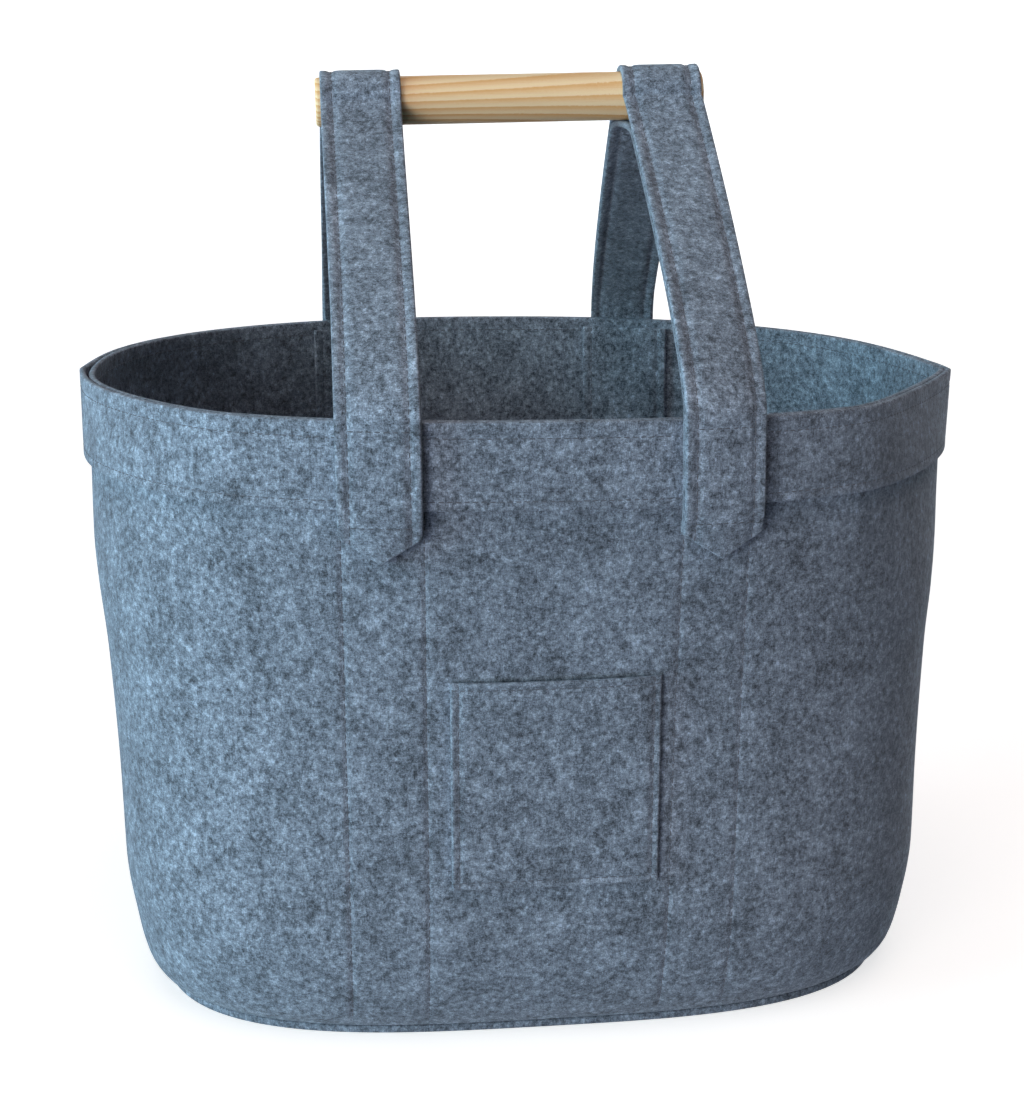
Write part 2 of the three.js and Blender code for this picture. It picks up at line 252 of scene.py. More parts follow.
def profile_at(share, column):
    """The wall profile's column at a share of the height, on a curve that never overshoots."""
    places, values = WALL_PROFILE[:, 0], WALL_PROFILE[:, column]
    step = np.diff(places)
    rise = np.diff(values) / step
    slope = np.empty(len(places))
    slope[0], slope[-1] = rise[0], rise[-1]
    both = rise[1:] * rise[:-1]
    slope[1:-1] = np.where(both > 0, 2 * both / (rise[1:] + rise[:-1] + 1e-12), 0)
    i = np.clip(np.searchsorted(places, share) - 1, 0, len(step) - 1)
    t = (share - places[i]) / step[i]
    ends = (1 + 2 * t) * (1 - t) ** 2 * values[i] + t * t * (3 - 2 * t) * values[i + 1]
    bends = t * (1 - t) ** 2 * slope[i] + t * t * (t - 1) * slope[i + 1]
    return ends + bends * step[i]


def wall_oval(share):
    half_width = (BASE_WIDTH + (RIM_WIDTH - BASE_WIDTH) * profile_at(share, 1)) / 2
    half_depth = (BASE_DEPTH + (RIM_DEPTH - BASE_DEPTH) * profile_at(share, 2)) / 2
    return half_width, half_depth, BASE_SQUARENESS + (RIM_SQUARENESS - BASE_SQUARENESS) * share


def crease_shift(x, y, share, sizes):
    """How far the crease at an end of the rim pushes the felt outwards."""
    size = np.where(x < 0, -sizes[0], sizes[1])
    centre = np.where(x < 0, *CREASE_CENTRES)
    reach = np.where(x < 0, *CREASE_REACHES)
    near = np.maximum(0, 1 - np.abs(y - centre) / reach)
    return size * near ** 2 * np.maximum(0, 1 - (1 - share) / CREASE_FADE)


def pinched(x, y, half_width, share):
    """What is left of the half depth where the front is pressed flatter towards an end."""
    pinch = np.where(x < 0, *FRONT_PINCHES)
    near = np.maximum(0, np.abs(x) / half_width - PINCH_START) / (1 - PINCH_START)
    near = near ** PINCH_EASE
    left = np.maximum(0, 1 - (1 - share) / CREASE_FADE)
    return np.where(y < 0, 1 - pinch * near * left, 1)


def wall_point(angle, share, outset):
    """A point on the wall and its outward normal, at an angle round the oval and a share of the
    height, outset from the wall's outer face."""
    angle, share, outset = np.broadcast_arrays(angle, share, outset)
    half_width, half_depth, squareness = wall_oval(share)
    across, away = np.cos(angle), np.sin(angle)
    across = np.where(np.abs(across) < 1e-9, 0, across)
    away = np.where(np.abs(away) < 1e-9, 0, away)
    x = half_width * signed_power(across, 2 / squareness)
    y = half_depth * signed_power(away, 2 / squareness)
    y = y * pinched(x, y, half_width, share)
    normal = unit(np.stack([
        signed_power(across, 2 - 2 / squareness) / half_width,
        signed_power(away, 2 - 2 / squareness) / half_depth,
        np.zeros_like(x),
    ], axis=-1))
    z = WALL_FOOT + share * (rim_z(x) - WALL_FOOT)
    point = np.stack([x + crease_shift(x, y, share, WALL_CREASES), y, z], axis=-1)
    return point + outset[..., None] * normal, normal


def wall_across(x, share, side, outset):
    """The same by a place across the bag, on the front (side -1) or the back (side 1). The angle
    that belongs to the place is found in a few steps."""
    half_width, _, squareness = wall_oval(share)
    wall_x = x
    for _ in range(SEARCH_STEPS):
        angle = side * np.arccos(np.clip(signed_power(wall_x / half_width, squareness / 2), -1, 1))
        point, normal = wall_point(angle, share, outset)
        wall_x = wall_x + x - point[..., 0]
    return point, normal


def share_at(x, z):
    return (z - WALL_FOOT) / (rim_z(x) - WALL_FOOT)


def furrow(distance, width=FURROW_WIDTH):
    """How far in a line of stitches pulls the felt at a distance from it, from 0 to 1."""
    return np.exp(-(distance / width) ** 2)


def lines_with(places, line_places):
    """Mesh line places, with close lines beside each line of stitches."""
    kept = [p for p in places if all(abs(p - line) > FURROW_CLEARANCE for line in line_places)]
    close = [line + offset for line in line_places for offset in FURROW_PLACES]
    return np.array(sorted([*kept, *close]))


def sheet_object(name, middle, half, material, ring):
    """A closed sheet of felt with rounded edges. middle holds the points of its middle surface,
    by column and row, and half the way from there to its outer face."""
    turns = np.radians([30, 60, 90])
    reach = EDGE_ROUND * np.sin(turns)
    kept = 1 - EDGE_ROUND * (1 - np.cos(turns)) / (FELT / 2)

    def with_edge(grid, thick, first):
        end, inside = (0, 1) if first else (-1, -2)
        outward = unit(grid[end] - grid[inside])
        border = grid[end] - outward * EDGE_ROUND
        grid = grid.copy()
        grid[end] = border
        extra = [border + outward * r for r in reach]
        slim = [thick[end] * k for k in kept]
        if first:
            return np.concatenate([extra[::-1], grid]), np.concatenate([slim[::-1], thick])
        return np.concatenate([grid, extra]), np.concatenate([thick, slim])

    middle, half = (part.transpose(1, 0, 2) for part in (middle, half))
    for first in (True, False):
        middle, half = with_edge(middle, half, first)
    middle, half = (part.transpose(1, 0, 2) for part in (middle, half))
    if not ring:
        for first in (True, False):
            middle, half = with_edge(middle, half, first)
    columns, rows = middle.shape[:2]
    points = np.concatenate([(middle + half).reshape(-1, 3), (middle - half).reshape(-1, 3)])
    outer = np.arange(columns * rows).reshape(columns, rows)
    if ring:
        outer = np.concatenate([outer, outer[:1]])
    inner = outer + columns * rows
    a, b, c, d = outer[:-1, :-1], outer[1:, :-1], outer[1:, 1:], outer[:-1, 1:]
    quads = [np.stack([a, b, c, d], -1), np.stack([a, d, c, b], -1) + columns * rows]
    quads.append(np.stack([outer[:-1, 0], inner[:-1, 0], inner[1:, 0], outer[1:, 0]], -1))
    quads.append(np.stack([outer[:-1, -1], outer[1:, -1], inner[1:, -1], inner[:-1, -1]], -1))
    if not ring:
        quads.append(np.stack([outer[0, :-1], outer[0, 1:], inner[0, 1:], inner[0, :-1]], -1))
        quads.append(np.stack([outer[-1, :-1], inner[-1, :-1], inner[-1, 1:], outer[-1, 1:]], -1))
    faces = np.concatenate([part.reshape(-1, 4) for part in quads])
    return add_object(name, points.tolist(), faces.tolist(), material)


def add_node(material, kind, inputs, **settings):
    """A shader node with its settings, and its inputs set to values or joined to sockets."""
    node = material.node_tree.nodes.new(kind)
    for name, value in settings.items():
        setattr(node, name, value)
    for socket, value in inputs.items():
        if isinstance(value, bpy.types.NodeSocket):
            material.node_tree.links.new(value, node.inputs[socket])
        else:
            node.inputs[socket].default_value = value
    return node


def felt_material(name, offset, brightness):
    """Mottled wool felt: dark and light tufts of a few millimetres, short streaks of fibre,
    broad cloudy patches and a fine nap. offset moves the pattern, so that no two pieces match."""
    material, shader = new_material(name, {
        "Roughness": 0.95,
        "Specular IOR Level": 0.15,
        "Sheen Weight": 0.25,
        "Sheen Roughness": 0.6,
        "Sheen Tint": (0.75, 0.85, 1, 1),
    })
    place = add_node(material, "ShaderNodeTexCoord", {}).outputs["Object"]
    moved = add_node(material, "ShaderNodeMapping", {"Vector": place, "Location": offset})
    moved = moved.outputs["Vector"]

    def noise(scale, detail, roughness, stretch):
        stretched = add_node(material, "ShaderNodeMapping", {"Vector": moved, "Scale": stretch})
        return add_node(material, "ShaderNodeTexNoise", {
            "Vector": stretched.outputs["Vector"],
            "Scale": scale,
            "Detail": detail,
            "Roughness": roughness,
        }).outputs["Fac"]

    def weighed(first, second, weight):
        mixed = add_node(material, "ShaderNodeMix", {0: weight, 2: first, 3: second})
        return mixed.outputs[0]

    tufts = noise(*FELT_TUFTS)
    streaks = weighed(noise(*FELT_LEVEL_STREAKS), noise(*FELT_UPRIGHT_STREAKS), 0.5)
    mottle = weighed(tufts, streaks, STREAK_SHARE)
    clouds = noise(*FELT_CLOUDS)
    nap = noise(*FELT_NAP)
    tone = weighed(weighed(mottle, clouds, CLOUD_SHARE), nap, NAP_SHARE)
    ramp = add_node(material, "ShaderNodeValToRGB", {"Fac": tone})
    stops = ramp.color_ramp.elements
    colour = FELT_COLOUR * brightness
    while len(stops) < len(FELT_SHADES):
        stops.new(0.5)
    for stop, (position, level, blue) in zip(stops, FELT_SHADES):
        stop.position = position
        stop.color = (*(colour * level * (1, 1, blue)), 1)
    relief = weighed(nap, mottle, RELIEF_MOTTLE_SHARE)
    bump = add_node(material, "ShaderNodeBump", {
        "Height": relief,
        "Strength": 0.55,
        "Distance": 0.0006,
    })
    links = material.node_tree.links
    links.new(ramp.outputs["Color"], shader.inputs["Base Color"])
    links.new(bump.outputs["Normal"], shader.inputs["Normal"])
    return material


def finish_piece(piece, nodes):
    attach(piece, "root")
    if nodes:
        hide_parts(*nodes)


def stitch_object(name, lines):
    """Threads along lines of stitches. A line is its points and the outward normals there, on the
    face of the felt, and each thread is a thin bent rod that dives in at both ends."""
    stations = np.array([-0.5, -0.3, 0, 0.3, 0.5])
    girths = np.array([0.5, 0.9, 1, 0.9, 0.5])
    turns = np.arange(THREAD_SIDES) * 2 * np.pi / THREAD_SIDES
    points, faces = [], []
    for line, normals in lines:
        lengths = np.concatenate([[0], np.cumsum(np.linalg.norm(np.diff(line, axis=0), axis=1))])
        count = int(lengths[-1] / STITCH_PITCH)
        pitch = lengths[-1] / count
        for n in range(count):
            at = (n + 0.5) * pitch + stations * STITCH_LENGTH
            centre = np.stack([np.interp(at, lengths, line[:, k]) for k in range(3)], -1)
            normal = unit(np.stack([np.interp(at, lengths, normals[:, k]) for k in range(3)], -1))
            along = unit(centre[-1] - centre[0])
            side = np.cross(along, normal[2])
            lift = THREAD_RADIUS * (THREAD_LIFT - THREAD_DIVE * stations ** 2)
            core = centre + normal * lift[:, None]
            round_it = np.cos(turns)[:, None] * side + np.sin(turns)[:, None] * normal[2]
            rings = core[:, None] + round_it * (THREAD_RADIUS * girths)[:, None, None]
            start = len(points)
            points.extend(rings.reshape(-1, 3).tolist())
            faces += ring_quads(len(stations), THREAD_SIDES, start)
            faces.append(tuple(range(start, start + THREAD_SIDES))[::-1])
            faces.append(tuple(range(len(points) - THREAD_SIDES, len(points))))
    return add_object(name, points, faces, thread)


def wall_angles(share):
    """The angles of the wall's columns on one row: even steps round both ends, and fixed places
    across the middle, so that columns follow the lines of stitches."""
    half_width, _, squareness = wall_oval(share)
    tips = np.linspace(-1, 1, END_COLUMNS + 2)[1:-1]

    def to_angle(x):
        return np.arccos(signed_power(x / half_width, squareness / 2))

    reach = to_angle(CENTRAL_REACH)
    end = reach * signed_power(tips, squareness / 2)
    even = np.arange(-CENTRAL_REACH, CENTRAL_REACH + CENTRAL_STEP / 2, CENTRAL_STEP)
    front = lines_with(even, [x for x, _ in STRIP_LINES])
    front = front + (1 - share) * np.interp(front, *lean_table())
    return np.concatenate([-to_angle(front), end, to_angle(even[::-1]), np.pi + end])


def lean_table():
    """Places across the front, and how far a column there leans to the side on its way down."""
    upright = [(-CENTRAL_REACH, 0), (0, 0), (CENTRAL_REACH, 0)]
    return tuple(zip(*sorted([*upright, *STRIP_LINES])))


def line_distance(points, share):
    """How far points of the front are from the nearest line of stitches that goes down it."""
    nearest = np.full(share.shape, 1.0)
    for x, lean in STRIP_LINES:
        nearest = np.minimum(nearest, np.abs(points[..., 0] - x - lean * (1 - share)))
    z = points[..., 2]
    beyond = np.maximum(0, np.maximum(STRIP_LINE_FOOT - z, z - STRIP_LINE_TOP))
    return np.where(points[..., 1] < 0, np.hypot(nearest, beyond), 1)


def make_wall():
    foot = np.linspace(0, WALL_FOOT_SHARE, WALL_FOOT_ROWS + 1)[:-1]
    shares = np.concatenate([foot, np.linspace(WALL_FOOT_SHARE, 1, WALL_ROWS)])
    angles = np.stack([wall_angles(share) for share in shares], axis=1)
    share = np.broadcast_to(shares, angles.shape)
    outer, normal = wall_point(angles, share, 0)
    depth = FURROW_DEPTH * furrow(line_distance(outer, share))[..., None]
    middle = outer - normal * (FELT + depth) / 2
    wall = sheet_object("felt_wall", middle, normal * (FELT - depth) / 2, wall_felt, True)
    finish_piece(wall, ["body_wall"])


def strip_line(x, lean, side, outset):
    z = np.linspace(STRIP_LINE_FOOT, STRIP_LINE_TOP, LINE_POINTS)
    share = share_at(np.full_like(z, x), z)
    return wall_across(x + lean * (1 - share), share, side, outset)


thread, _ = new_material("thread", {"Base Color": THREAD_COLOUR, "Roughness": 0.7})
wall_felt = felt_material("wall_felt", (0, 0, 0), 1)
make_wall()
wall_lines = [strip_line(x, lean, -1, -FURROW_DEPTH) for x, lean in STRIP_LINES]
wall_lines += [strip_line(x, 0, 1, 0) for x, _ in STRIP_LINES]
finish_piece(stitch_object("wall_stitches", wall_lines), [])

# Rim band: a second layer of felt sewn round the outside of the rim with two lines of stitches.
# At the left end it stands off the wall, which leaves a dark slit between the two layers.
BAND_HEIGHT = 0.0406
BAND_CREASES = (0.0026, 0)
BAND_TOP_LINE = 0.0075
BAND_FOOT_LINE = 0.0045
BAND_FURROW = 0.0003
BAND_COLUMNS = 288
BAND_ROWS = 15


def band_point(angle, share, outset):
    point, normal = wall_point(angle, share, GAP + outset)
    point[..., 0] += crease_shift(point[..., 0], point[..., 1], share, BAND_CREASES)
    return point, normal


def make_band():
    angles = np.arange(BAND_COLUMNS) * 2 * np.pi / BAND_COLUMNS
    span = RIM_HEIGHT - WALL_FOOT
    line_heights = [BAND_FOOT_LINE, BAND_HEIGHT - BAND_TOP_LINE]
    heights = lines_with(np.linspace(0, BAND_HEIGHT, BAND_ROWS), line_heights)
    shares = 1 - (BAND_HEIGHT - heights) / span
    angle, share = np.meshgrid(angles, shares, indexing="ij")
    outer, normal = band_point(angle, share, FELT)
    distance = np.min([np.abs(heights - line) for line in line_heights], axis=0)
    depth = BAND_FURROW * furrow(distance)[None, :, None]
    middle = outer - normal * (FELT + depth) / 2
    band = sheet_object("felt_band", middle, normal * (FELT - depth) / 2, band_felt, True)
    finish_piece(band, ["rim_band"])
    closed = np.append(angles, 0)
    lines = []
    for line in line_heights:
        lines.append(band_point(closed, 1 - (BAND_HEIGHT - line) / span, FELT - BAND_FURROW))
    inside, away = wall_point(closed, 1 - BAND_TOP_LINE / span, -FELT)
    lines.append((inside, -away))
    finish_piece(stitch_object("band_stitches", lines), [])


band_felt = felt_material("band_felt", (0.31, 0.17, 0.23), 1.04)
make_band()

# Patch pocket: one layer of felt sewn to the front along its sides and foot. Its top has a
# topstitched edge and stands a little off the wall.
POCKET_WIDTH = 0.0987
POCKET_HEIGHT = 0.1042
POCKET_CENTRE_X = 0.002
POCKET_BOTTOM_Z = 0.0881
POCKET_MOUTH_GAP = 0.0022
POCKET_SEAM = 0.0036
POCKET_MESH_LINES = 25


def pocket_point(across, up, outset):
    x = POCKET_CENTRE_X + (across - 0.5) * POCKET_WIDTH
    share = share_at(x, POCKET_BOTTOM_Z + up * POCKET_HEIGHT)
    lift = POCKET_MOUTH_GAP * up ** 4 * (1 - (2 * across - 1) ** 4)
    return wall_across(x, share, -1, GAP + lift + outset)


def pocket_places(size):
    """The pocket's mesh lines from one edge to the other, with both edges and both seams."""
    places = lines_with(np.linspace(0, size, POCKET_MESH_LINES), [POCKET_SEAM, size - POCKET_SEAM])
    return np.union1d(places, [0, size])


def seam_distance(place, size):
    """How far a place between two edges is from the nearer one of their seams."""
    return np.minimum(np.abs(place - POCKET_SEAM), np.abs(place - (size - POCKET_SEAM)))


def make_pocket():
    places = pocket_places(POCKET_WIDTH), pocket_places(POCKET_HEIGHT)
    x, z = np.meshgrid(*places, indexing="ij")
    distance = np.minimum(seam_distance(x, POCKET_WIDTH), seam_distance(z, POCKET_HEIGHT))
    outer, normal = pocket_point(x / POCKET_WIDTH, z / POCKET_HEIGHT, FELT)
    depth = FURROW_DEPTH * furrow(distance)[..., None]
    middle = outer - normal * (FELT + depth) / 2
    pocket = sheet_object("felt_pocket", middle, normal * (FELT - depth) / 2, pocket_felt, False)
    finish_piece(pocket, ["front_pocket"])
    run = np.linspace(0, 1, LINE_POINTS)
    side, end = POCKET_SEAM / POCKET_WIDTH, POCKET_SEAM / POCKET_HEIGHT
    face = FELT - FURROW_DEPTH
    lines = [pocket_point(np.full_like(run, place), run, face) for place in (side, 1 - side)]
    lines += [pocket_point(run, np.full_like(run, place), face) for place in (end, 1 - end)]
    finish_piece(stitch_object("pocket_stitches", lines), [])


pocket_felt = felt_material("pocket_felt", (0.11, 0.37, 0.05), 1)
make_pocket()

# Dowel: a sanded pine rod with its ends eased, which the straps hold. Its grain runs along it, and
# its growth rings lie a little aslant, so that they show as long lines along it.
DOWEL_RADIUS = 0.012
DOWEL_LENGTH = 0.196
DOWEL_CENTRE_X = -0.0023
DOWEL_EDGE = 0.0015
DOWEL_HEIGHT = 0.4487
DOWEL_TILT = math.radians(0.9)
DOWEL_SIDES = 72
DOWEL_RINGS = 10
# How the grain is shifted and turned from the bag's own axes, so that the rings lie aslant.
GRAIN_SHIFT = (0, 0.002, -0.4405)
GRAIN_TURN = (0, math.radians(3), math.radians(-1))
FIBRE_SHARE = 0.25
# Columns: place on the ramp, and colour.
EARLY_WOOD = (0.3, (0.98, 0.75, 0.46, 1))
LATE_WOOD = (0.85, (0.80, 0.44, 0.16, 1))


def dowel_axis_z(x):
    return DOWEL_HEIGHT + x * math.tan(DOWEL_TILT)


def pine_material():
    material, shader = new_material("pine", {"Roughness": 0.5, "Specular IOR Level": 0.35})
    place = add_node(material, "ShaderNodeTexCoord", {}).outputs["Object"]
    turned = add_node(material, "ShaderNodeMapping", {
        "Vector": place,
        "Location": GRAIN_SHIFT,
        "Rotation": GRAIN_TURN,
    }).outputs["Vector"]
    rings = add_node(material, "ShaderNodeTexWave", {
        "Vector": turned,
        "Scale": 120,
        "Distortion": 1.2,
        "Detail": 1,
        "Detail Scale": 20,
    }, wave_type="RINGS", rings_direction="X", wave_profile="SAW").outputs["Fac"]
    stretched = add_node(material, "ShaderNodeMapping", {"Vector": place, "Scale": (0.03, 1, 1)})
    fibres = add_node(material, "ShaderNodeTexNoise", {
        "Vector": stretched.outputs["Vector"],
        "Scale": 1900,
        "Detail": 3,
    }).outputs["Fac"]
    tone = add_node(material, "ShaderNodeMix", {0: FIBRE_SHARE, 2: rings, 3: fibres}).outputs[0]
    ramp = add_node(material, "ShaderNodeValToRGB", {"Fac": tone})
    for stop, (position, colour) in zip(ramp.color_ramp.elements, (EARLY_WOOD, LATE_WOOD)):
        stop.position = position
        stop.color = colour
    bump = add_node(material, "ShaderNodeBump", {
        "Height": fibres,
        "Strength": 0.25,
        "Distance": 0.0003,
    })
    links = material.node_tree.links
    links.new(ramp.outputs["Color"], shader.inputs["Base Color"])
    links.new(bump.outputs["Normal"], shader.inputs["Normal"])
    return material


def make_dowel():
    half = DOWEL_LENGTH / 2
    turns = np.radians([0, 22.5, 45, 67.5, 90])
    ease = DOWEL_EDGE * (1 - np.cos(turns))
    radii = DOWEL_RADIUS - DOWEL_EDGE + DOWEL_EDGE * np.sin(turns)
    between = np.linspace(-half + DOWEL_EDGE, half - DOWEL_EDGE, DOWEL_RINGS + 2)[1:-1]
    stations = np.concatenate([-half + ease, between, half - ease[::-1]])
    girths = np.concatenate([radii, np.full(DOWEL_RINGS, DOWEL_RADIUS), radii[::-1]])
    around = np.arange(DOWEL_SIDES) * 2 * np.pi / DOWEL_SIDES
    rings = np.stack(np.broadcast_arrays(
        stations[:, None],
        girths[:, None] * np.cos(around),
        girths[:, None] * np.sin(around),
    ), -1).reshape(-1, 3)
    points = np.concatenate([rings, [(-half, 0, 0), (half, 0, 0)]])
    turn = np.array(Matrix.Rotation(-DOWEL_TILT, 3, "Y"))
    points = points @ turn.T + (DOWEL_CENTRE_X, 0, dowel_axis_z(DOWEL_CENTRE_X))
    faces = [quad[::-1] for quad in ring_quads(len(stations), DOWEL_SIDES)]
    last = (len(stations) - 1) * DOWEL_SIDES
    for k in range(DOWEL_SIDES):
        after = (k + 1) % DOWEL_SIDES
        faces.append((len(rings), k, after))
        faces.append((len(rings) + 1, last + after, last + k))
    dowel = add_object("pine_dowel", points.tolist(), faces, pine_material())
    finish_piece(dowel, ["handle_dowel"])


make_dowel()

# Straps: each one is two layers of felt sewn together along both edges. The outer layer goes over
# the dowel and the inner one under it. The pointed ends are sewn over the band to the wall,
# inside a box of stitches.
STRAP_WIDTH = 0.04
SEWN_WIDTH = 0.038
STRAP_REACH = 0.077
# Shares of the straps' reach from the middle of the bag: the middle of the strap on the dowel, then
# for the front leg and the back leg its middle at the tip, at the rim and in the upper run.
STRAP_SHARES = {
    "left": (-1.012, (-1.006, -1.011, -1.01), (-1.04, -1.04, -1.026)),
    "right": (0.956, (0.997, 0.979, 1.01), (1.07, 1.1, 0.918)),
}
SEWN_LENGTH = 0.053
TIP_LENGTH = 0.0123
RIM_LEAN = math.radians(5)
RIM_HANDLE = 0.029
DOWEL_HANDLE = 0.014
ARCH_START = 0.8
ARCH_SHOULDER = 0.006
ARCH_CROWN = 0.012
STRAP_SEAM = 0.0056
BOX_FOOT = 0.0056
BOX_TOP = 0.0035
TUNNEL_SEAM = 0.74
RUN_LENGTH = 0.14
CROSS_PULL = 0.35
SEAM_DEPTH = 0.0009
SEAM_WIDTH = 0.0017
STRAP_MESH_LINES = 13
CROSS_POINTS = 12
TIP_ROWS = 6
BOX_ROWS = 9
RUN_ROWS = 35
WRAP_ROWS = 12
ARCH_ROWS = 16
# The rows of a strap's path on which the foot and the top of its box of stitches lie.
BOX_FOOT_ROW = TIP_ROWS + len(FURROW_PLACES) // 2
BOX_TOP_ROW = BOX_FOOT_ROW + len(FURROW_PLACES) + BOX_ROWS
# Share of a run in which a strap's outer face turns from the band's side to its own.
RIM_TURN = 0.4


def smooth_step(value):
    part = np.clip(value, 0, 1)
    return part * part * (3 - 2 * part)


def bezier(controls, share):
    """Points and unit tangents of a cubic curve. controls has one row of places for each."""
    a, b, c, d = controls
    t = share[:, None]
    point = (1 - t) ** 3 * a + 3 * t * (1 - t) ** 2 * b + 3 * t * t * (1 - t) * c + t ** 3 * d
    tangent = (1 - t) ** 2 * (b - a) + 2 * t * (1 - t) * (c - b) + t * t * (d - c)
    return point, unit(tangent)


def path_normal(tangent):
    return unit(np.cross((1.0, 0, 0), tangent))


def sewn_path(leg, from_middle):
    """The sewn end of a strap's middle surface at one place across it, from its tip to the rim."""
    tip_x, rim_x, _ = (share * STRAP_REACH for share in leg)
    on_wall = GAP + FELT + GAP / 2
    on_band = on_wall + FELT + GAP
    facing = -wall_across(np.array([rim_x]), np.array([1.0]), -1, on_band)[1][0, 1]
    aside = from_middle * SEWN_WIDTH * facing / 2
    top = rim_z(rim_x + aside)
    tip = top - SEWN_LENGTH - TIP_LENGTH * (1 - abs(from_middle))
    step = top - BAND_HEIGHT - GAP
    box = top - SEWN_LENGTH + BOX_FOOT
    z = np.concatenate([
        np.linspace(tip, box + FURROW_PLACES[0], TIP_ROWS + 1)[:-1],
        box + FURROW_PLACES,
        np.linspace(step, top - BOX_TOP + FURROW_PLACES[0], BOX_ROWS + 1)[:-1],
        top - BOX_TOP + FURROW_PLACES,
        [top],
    ])
    outset = on_wall + (on_band - on_wall) * smooth_step((z - tip) / (step - tip))
    x = rim_x + (tip_x - rim_x) * (top - z) / (SEWN_LENGTH + TIP_LENGTH) + aside
    point, normal = wall_across(x, np.minimum(1, share_at(x, z)), -1, outset)
    pull = CROSS_PULL * furrow(np.minimum(np.abs(z - box), np.abs(z - top + BOX_TOP)))
    return point, normal, pull


def half_path(leg, middle_x, from_middle, layer):
    """Half of a strap's path: points, normals, and how strongly a cross seam pulls there."""
    held_x = middle_x + from_middle * STRAP_WIDTH / 2
    sewn, sewn_normal, sewn_pull = sewn_path(leg, from_middle)
    wrap = DOWEL_RADIUS + GAP / 2
    start = sewn[-1]
    end = np.array((held_x, -wrap, dowel_axis_z(held_x)))
    rise = np.array((0, -math.sin(RIM_LEAN), math.cos(RIM_LEAN)))
    aside = np.array((leg[2] * STRAP_REACH - middle_x, 0, -DOWEL_HANDLE))
    run = (start, start + rise * RIM_HANDLE, end + aside, end)
    shares = np.linspace(0, 1, RUN_ROWS + 1)[1:]
    if layer == "inner":
        shares = shares[shares < ARCH_START]
        shares = np.append(shares, ARCH_START)
    point, tangent = bezier(run, shares)
    turn = smooth_step(shares / RIM_TURN)[:, None]
    normal = unit(sewn_normal[-1] * (1 - turn) + path_normal(tangent) * turn)
    pull = CROSS_PULL * furrow((shares - TUNNEL_SEAM) * RUN_LENGTH)
    axis = np.array((held_x, 0, dowel_axis_z(held_x)))
    if layer == "outer":
        angles = np.linspace(0, np.pi / 2, WRAP_ROWS + 1)[1:]
        last_normal = np.stack([np.zeros_like(angles), -np.cos(angles), np.sin(angles)], -1)
        last = axis + last_normal * wrap
    else:
        to_middle = (GAP + FELT) / 2
        leave = point[-1] - normal[-1] * to_middle
        crown = axis - (0, 0, DOWEL_RADIUS + GAP + FELT / 2)
        arch = (leave, leave + tangent[-1] * ARCH_SHOULDER, crown - (0, ARCH_CROWN, 0), crown)
        last, tangent = bezier(arch, np.linspace(0, 1, ARCH_ROWS + 1)[1:])
        last_normal = path_normal(tangent)
        last = last + last_normal * to_middle
    return (
        np.concatenate([sewn, point, last]),
        np.concatenate([sewn_normal, normal, last_normal]),
        np.concatenate([sewn_pull, pull, np.zeros(len(last))]),
    )


def strap_path(strap, from_middle, layer):
    """A strap's whole path at one place across it, from its front tip to its back tip."""
    middle, front, back = STRAP_SHARES[strap]
    middle_x = middle * STRAP_REACH
    near = half_path(front, middle_x, from_middle, layer)
    far = [part[-2::-1].copy() for part in half_path(back, middle_x, from_middle, layer)]
    for part in far[:2]:
        part[:, 1] *= -1
    return [np.concatenate(parts) for parts in zip(near, far)]


def make_strap_layer(strap, layer):
    seams = [STRAP_SEAM, STRAP_WIDTH - STRAP_SEAM]
    places = lines_with(np.linspace(0, STRAP_WIDTH, STRAP_MESH_LINES), seams)
    paths = [strap_path(strap, 2 * place / STRAP_WIDTH - 1, layer) for place in places]
    point, normal, cross = (np.stack(parts) for parts in zip(*paths))
    beside = np.min([np.abs(places - seam) for seam in seams], axis=0)
    along = furrow(beside, SEAM_WIDTH)[:, None]
    within = ((places > seams[0] - 1e-6) & (places < seams[1] + 1e-6))[:, None]
    depth = (SEAM_DEPTH * np.maximum(along, cross * within))[..., None]
    centre = (GAP + FELT) / 2 * (1 if layer == "outer" else -1)
    middle = point + normal * centre
    half = normal * (FELT / 2 - depth)
    name = f"felt_strap_{strap}_{layer}"
    piece = sheet_object(name, middle, half, strap_felts[layer], False)
    finish_piece(piece, [f"strap_{strap}_{layer}"])


def make_strap_stitches(strap):
    face = GAP / 2 + FELT - SEAM_DEPTH
    edge = 1 - 2 * STRAP_SEAM / STRAP_WIDTH
    lines = []
    for from_middle in (-edge, edge):
        point, normal, _ = strap_path(strap, from_middle, "outer")
        lines.append((point + normal * face, normal))
    across = np.linspace(-edge, edge, CROSS_POINTS)
    paths = [strap_path(strap, from_middle, "outer") for from_middle in across]
    cross_face = GAP / 2 + FELT - SEAM_DEPTH * CROSS_PULL
    for row in (BOX_FOOT_ROW, BOX_TOP_ROW, -1 - BOX_FOOT_ROW, -1 - BOX_TOP_ROW):
        points = np.stack([path[0][row] for path in paths])
        normals = np.stack([path[1][row] for path in paths])
        lines.append((points + normals * cross_face, normals))
    finish_piece(stitch_object(f"strap_{strap}_stitches", lines), [])


strap_felts = {
    "outer": felt_material("strap_felt", (0.07, 0.29, 0.41), 1.05),
    # The inner layers' felt is made darker (0.82): painted shade for the strap faces that turn
    # towards the bag and lie in shade.
    "inner": felt_material("strap_inner_felt_painted_shade", (0.23, 0.07, 0.13), 0.82),
}
for strap_name in STRAP_SHARES:
    make_strap_layer(strap_name, "outer")
    make_strap_layer(strap_name, "inner")
    make_strap_stitches(strap_name)

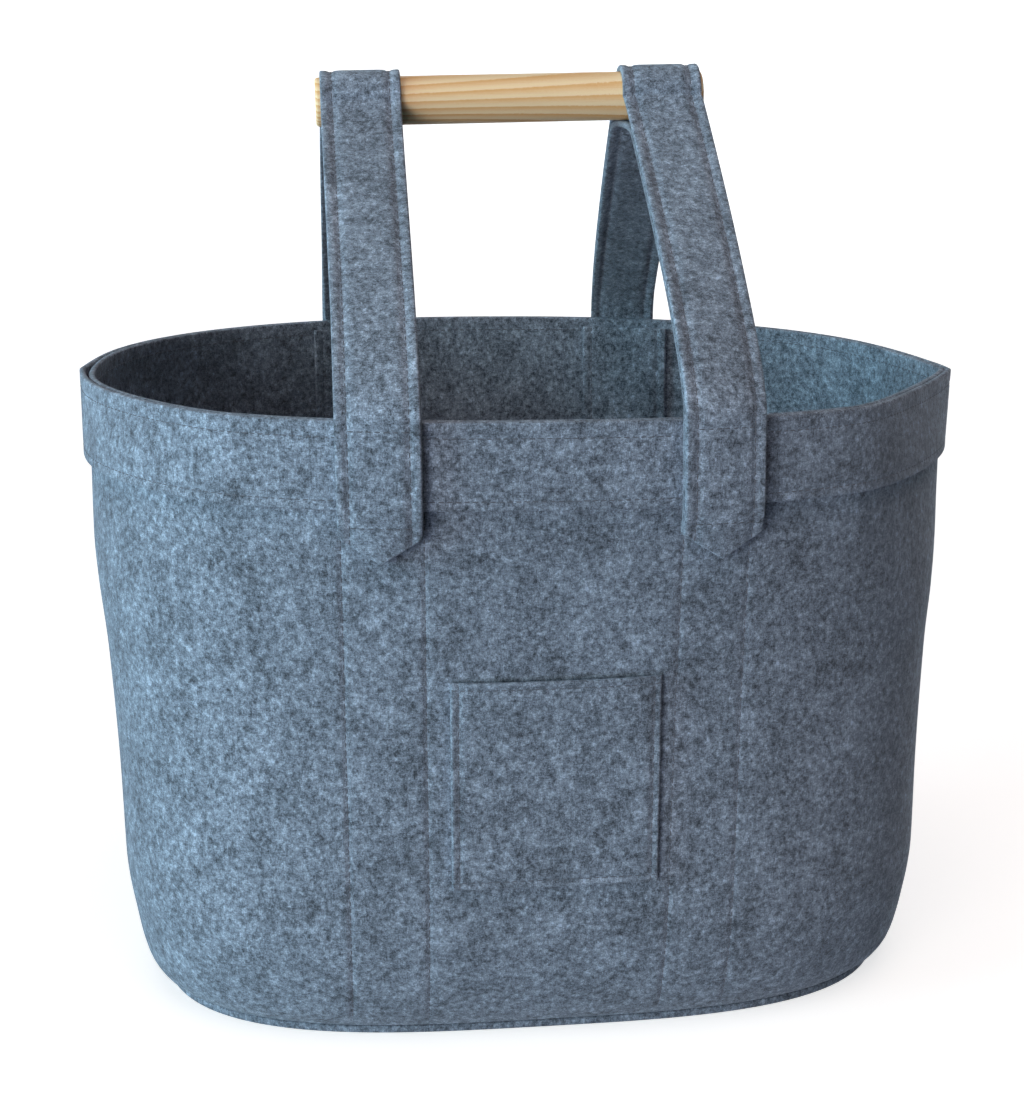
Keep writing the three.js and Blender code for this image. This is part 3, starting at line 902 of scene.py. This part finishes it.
# Inner strips: felt strips sewn to the inside of the wall behind the straps. They carry the pull
# of the straps down to the base.
STRIP_WIDTH = 0.05
STRIP_FOOT_SHARE = 0.02
STRIP_TOP_SHARE = 0.985
STRIP_SEAM = 0.005
STRIP_MESH_LINES = 11


def make_strip(strap, side):
    middle_x = STRAP_SHARES[strap][1 if side < 0 else 2][1] * STRAP_REACH
    seams = [STRIP_SEAM, STRIP_WIDTH - STRIP_SEAM]
    places = lines_with(np.linspace(0, STRIP_WIDTH, STRIP_MESH_LINES), seams)
    shares = np.linspace(STRIP_FOOT_SHARE, STRIP_TOP_SHARE, LINE_POINTS)
    across = middle_x - side * (places - STRIP_WIDTH / 2)
    x, share = np.meshgrid(across, shares, indexing="ij")
    outset = -FELT - GAP
    outer, normal = wall_across(x, share, side, outset)
    beside = np.min([np.abs(places - seam) for seam in seams], axis=0)
    depth = FURROW_DEPTH * furrow(beside)[:, None, None]
    middle = outer - normal * (FELT - depth) / 2
    name = f"{'front' if side < 0 else 'back'}_{strap}"
    half = normal * (FELT - depth) / 2
    piece = sheet_object(f"felt_strip_{name}", middle, half, strip_felt, False)
    finish_piece(piece, [f"inner_strip_{name}"])
    lines = []
    for seam in seams:
        place = middle_x - side * (seam - STRIP_WIDTH / 2)
        face = outset - FELT + FURROW_DEPTH
        point, away = wall_across(np.full_like(shares, place), shares, side, face)
        lines.append((point, -away))
    return lines


strip_felt = felt_material("strip_felt", (0.43, 0.13, 0.19), 1.1)
strip_lines = []
for strap_name in STRAP_SHARES:
    strip_lines += make_strip(strap_name, -1)
    strip_lines += make_strip(strap_name, 1)
finish_piece(stitch_object("strip_stitches", strip_lines), [])

# Base: an oval plate of firmer felt, 4 mm thick, which is cut out and sewn to the foot of the wall.
# Its cut edge shows under the seam as a narrow lip.
BASE_SIDES = 240


def make_base():
    angles = np.arange(BASE_SIDES) * 2 * np.pi / BASE_SIDES
    turns = np.radians([0, 30, 60, 90])
    insets = EDGE_ROUND * (1 - np.sin(turns))
    drops = EDGE_ROUND * (1 - np.cos(turns))
    heights = np.concatenate([drops, (BASE_THICKNESS - drops)[::-1]])
    rings = []
    for inset, z in zip(np.concatenate([insets, insets[::-1]]), heights):
        ring, _ = wall_point(angles, 0, -inset)
        ring[:, 2] = z
        rings.append(ring)
    points = np.concatenate(rings)
    faces = [tuple(range(BASE_SIDES))[::-1]]
    faces.append(tuple(range(len(points) - BASE_SIDES, len(points))))
    faces += ring_quads(len(rings), BASE_SIDES)
    base_felt = felt_material("base_felt", (0.5, 0.1, 0.3), 0.85)
    base = add_object("felt_base", points.tolist(), faces, base_felt)
    finish_piece(base, ["base_plate"])


make_base()
